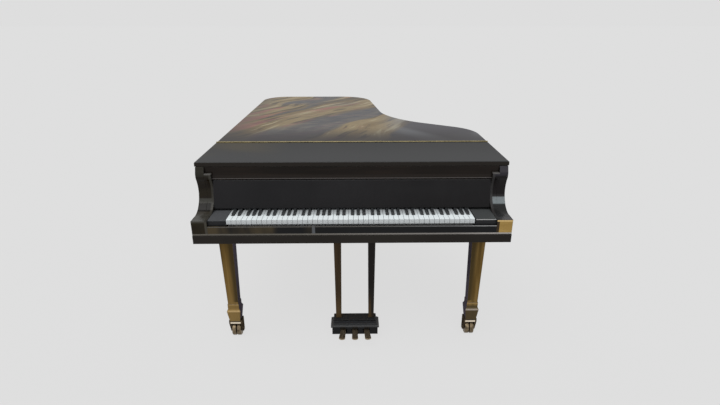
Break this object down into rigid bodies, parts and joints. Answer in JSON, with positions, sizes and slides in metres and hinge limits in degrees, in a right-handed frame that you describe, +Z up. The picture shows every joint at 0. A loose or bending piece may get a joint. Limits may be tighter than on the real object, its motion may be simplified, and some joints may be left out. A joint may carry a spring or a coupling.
{
  "type": "grand piano",
  "caption": "Grand piano with a curved case, hinged two-part lid, open fallboard, full keyboard, pedal lyre and tapered legs on swivel casters.",
  "frame": {"origin": "on the floor, under the middle of the bounding box", "axes": "+X to the player's right, +Y from the player to the tail, +Z up"},
  "size_m": [1.486, 2.19, 0.9755],
  "materials": {
    "black_lacquer": "gloss",
    "lid_veneer": "gloss",
    "brass_fittings": "polished",
    "caster_bronze": "satin",
    "leg_plate_steel": "satin",
    "rubber_buttons": "matte",
    "hard_wood": "satin",
    "spruce": "satin",
    "gilt_iron": "satin",
    "pin_steel": "polished",
    "string_steel": "polished",
    "wound_copper": "satin",
    "ivory_white": "gloss",
    "ebony_black": "satin",
    "hammer_felt": "matte",
    "damper_felt": "matte"
  },
  "bodies": {
    "case": {"key_bed": "black_lacquer", "outer_rim": "black_lacquer", "arm_cheeks": "black_lacquer", "key_slip": "black_lacquer", "key_blocks": "black_lacquer", "stretcher": "black_lacquer", "desk_tray": "black_lacquer", "desk_brackets": "brass_fittings", "spine_hinge_rim_leaves": "brass_fittings", "lid_bumpers": "rubber_buttons", "belly_rail": "hard_wood", "inner_rim": "hard_wood", "rim_braces": "hard_wood", "soundboard": "spruce", "soundboard_ribs": "spruce", "string_bridge": "hard_wood", "cast_iron_plate": "gilt_iron", "pin_block": "hard_wood", "tuning_pins": "pin_steel", "hitch_pins": "pin_steel", "plain_strings": "string_steel", "wound_strings": "wound_copper", "prop_bracket": "brass_fittings", "leg_front_left": "black_lacquer", "leg_front_right": "black_lacquer", "leg_rear": "black_lacquer", "leg_plates": "leg_plate_steel", "lyre_posts": "black_lacquer", "pedal_box": "black_lacquer", "lyre_braces": "brass_fittings"},
    "lid": {"lid_main": "lid_veneer", "fold_hinge_rear_leaf": "brass_fittings", "spine_hinge_lid_leaves": "brass_fittings", "prop_cup": "brass_fittings"},
    "lid_flap": {"lid_front": "black_lacquer", "fold_hinge_front_leaf": "brass_fittings"},
    "prop": {"lid_prop": "black_lacquer"},
    "desk": {"music_desk": "black_lacquer"},
    "fall": {"fallboard": "black_lacquer"},
    "key_action": {"key_frame": "hard_wood", "action_rails": "hard_wood"},
    "white_key_set": {"white_keys": "ivory_white"},
    "black_key_set": {"black_keys": "ebony_black"},
    "white_lever_set": {"white_levers": "hard_wood"},
    "black_lever_set": {"black_levers": "hard_wood"},
    "white_hammer_set": {"white_hammers": "hammer_felt"},
    "black_hammer_set": {"black_hammers": "hammer_felt"},
    "damper_set": {"dampers": "damper_felt", "damper_tray": "hard_wood"},
    "left_pedal": {"pedal_left": "brass_fittings"},
    "middle_pedal": {"pedal_middle": "brass_fittings"},
    "right_pedal": {"pedal_right": "brass_fittings"},
    "left_rod": {"pedal_rod_left": "brass_fittings"},
    "right_rod": {"pedal_rod_right": "brass_fittings"},
    "fork_front_left": {"caster_fork_front_left": "caster_bronze"},
    "wheel_front_left": {"caster_wheel_front_left": "caster_bronze"},
    "fork_front_right": {"caster_fork_front_right": "caster_bronze"},
    "wheel_front_right": {"caster_wheel_front_right": "caster_bronze"},
    "fork_rear": {"caster_fork_rear": "caster_bronze"},
    "wheel_rear": {"caster_wheel_rear": "caster_bronze"}
  },
  "joints": [
    {"name": "lid_swing", "type": "hinge", "parent": "case", "child": "lid", "pos_m": [-0.7405, 0, 0.948], "axis": [0, -1, 0], "range_deg": [0, 28]},
    {"name": "flap_fold", "type": "hinge", "parent": "lid", "child": "lid_flap", "pos_m": [0, -0.549, 0.9725], "axis": [-1, 0, 0], "range_deg": [0, 178]},
    {"name": "prop_swing", "type": "hinge", "parent": "case", "child": "prop", "pos_m": [0.144, 0.199, 0.893], "axis": [-0.776, -0.6063, -0.1736], "range_deg": [0, 58.9]},
    {"name": "desk_tilt", "type": "hinge", "parent": "case", "child": "desk", "pos_m": [0, -0.889, 0.938], "axis": [1, 0, 0], "range_deg": [0, 70.1]},
    {"name": "fallboard_swing", "type": "hinge", "parent": "case", "child": "fall", "pos_m": [0, -0.952, 0.757], "axis": [1, 0, 0], "range_deg": [0, 101.9]},
    {"name": "action_shift", "type": "slide", "parent": "case", "child": "key_action", "axis": [1, 0, 0], "range_m": [0, 0.003]},
    {"name": "white_key_press", "type": "hinge", "parent": "key_action", "child": "white_key_set", "pos_m": [0, -0.835, 0.7087], "axis": [1, 0, 0], "range_deg": [0, 2.4], "stiffness_Nm_per_rad": 60, "springref_deg": -2.86},
    {"name": "white_lever_lift", "type": "hinge", "parent": "key_action", "child": "white_lever_set", "pos_m": [0, -0.667, 0.765], "axis": [-1, 0, 0], "range_deg": [0, 7.3]},
    {"name": "white_hammer_strike", "type": "hinge", "parent": "key_action", "child": "white_hammer_set", "pos_m": [0, -0.755, 0.838], "axis": [1, 0, 0], "range_deg": [0, 20.1]},
    {"name": "black_key_press", "type": "hinge", "parent": "key_action", "child": "black_key_set", "pos_m": [0, -0.835, 0.7087], "axis": [1, 0, 0], "range_deg": [0, 2.4], "stiffness_Nm_per_rad": 60, "springref_deg": -2.86},
    {"name": "black_lever_lift", "type": "hinge", "parent": "key_action", "child": "black_lever_set", "pos_m": [0, -0.667, 0.765], "axis": [-1, 0, 0], "range_deg": [0, 7.3]},
    {"name": "black_hammer_strike", "type": "hinge", "parent": "key_action", "child": "black_hammer_set", "pos_m": [0, -0.755, 0.838], "axis": [1, 0, 0], "range_deg": [0, 20.1]},
    {"name": "left_pedal_press", "type": "hinge", "parent": "case", "child": "left_pedal", "pos_m": [-0.0495, -0.976, 0.07], "axis": [1, 0, 0], "range_deg": [0, 8], "stiffness_Nm_per_rad": 3, "springref_deg": -8.59},
    {"name": "middle_pedal_press", "type": "hinge", "parent": "case", "child": "middle_pedal", "pos_m": [0.009, -0.976, 0.07], "axis": [1, 0, 0], "range_deg": [0, 8], "stiffness_Nm_per_rad": 3, "springref_deg": -8.59},
    {"name": "right_pedal_press", "type": "hinge", "parent": "case", "child": "right_pedal", "pos_m": [0.0675, -0.976, 0.07], "axis": [1, 0, 0], "range_deg": [0, 8], "stiffness_Nm_per_rad": 3, "springref_deg": -8.59},
    {"name": "left_rod_lift", "type": "slide", "parent": "case", "child": "left_rod", "axis": [0, 0, 1], "range_m": [0, 0.006]},
    {"name": "right_rod_lift", "type": "slide", "parent": "case", "child": "right_rod", "axis": [0, 0, 1], "range_m": [0, 0.006]},
    {"name": "damper_lift", "type": "slide", "parent": "case", "child": "damper_set", "axis": [0, 0, 1], "range_m": [0, 0.0099]},
    {"name": "swivel_front_left", "type": "hinge", "parent": "case", "child": "fork_front_left", "pos_m": [-0.626, -0.941, 0.1], "axis": [0, 0, 1], "continuous": true},
    {"name": "spin_front_left", "type": "hinge", "parent": "fork_front_left", "child": "wheel_front_left", "pos_m": [-0.626, -0.929, 0.0375], "axis": [1, 0, 0], "continuous": true},
    {"name": "swivel_front_right", "type": "hinge", "parent": "case", "child": "fork_front_right", "pos_m": [0.626, -0.941, 0.1], "axis": [0, 0, 1], "continuous": true},
    {"name": "spin_front_right", "type": "hinge", "parent": "fork_front_right", "child": "wheel_front_right", "pos_m": [0.626, -0.929, 0.0375], "axis": [1, 0, 0], "continuous": true},
    {"name": "swivel_rear", "type": "hinge", "parent": "case", "child": "fork_rear", "pos_m": [-0.3, 0.785, 0.1], "axis": [0, 0, 1], "continuous": true},
    {"name": "spin_rear", "type": "hinge", "parent": "fork_rear", "child": "wheel_rear", "pos_m": [-0.3, 0.797, 0.0375], "axis": [1, 0, 0], "continuous": true}
  ],
  "couplings": [
    {"joint": "prop_swing", "follows": "lid_swing", "ratio": 2.1},
    {"joint": "desk_tilt", "follows": "flap_fold", "ratio": 0.39326},
    {"joint": "white_lever_lift", "follows": "white_key_press", "ratio": 3},
    {"joint": "white_hammer_strike", "follows": "white_key_press", "ratio": 8.333},
    {"joint": "black_lever_lift", "follows": "black_key_press", "ratio": 3},
    {"joint": "black_hammer_strike", "follows": "black_key_press", "ratio": 8.333},
    {"joint": "left_pedal_press", "follows": "action_shift", "rad_per_m": 46.5},
    {"joint": "left_rod_lift", "follows": "action_shift", "ratio": 1.953},
    {"joint": "right_rod_lift", "follows": "right_pedal_press", "m_per_rad": 0.042},
    {"joint": "damper_lift", "follows": "right_pedal_press", "m_per_rad": 0.07}
  ]
}
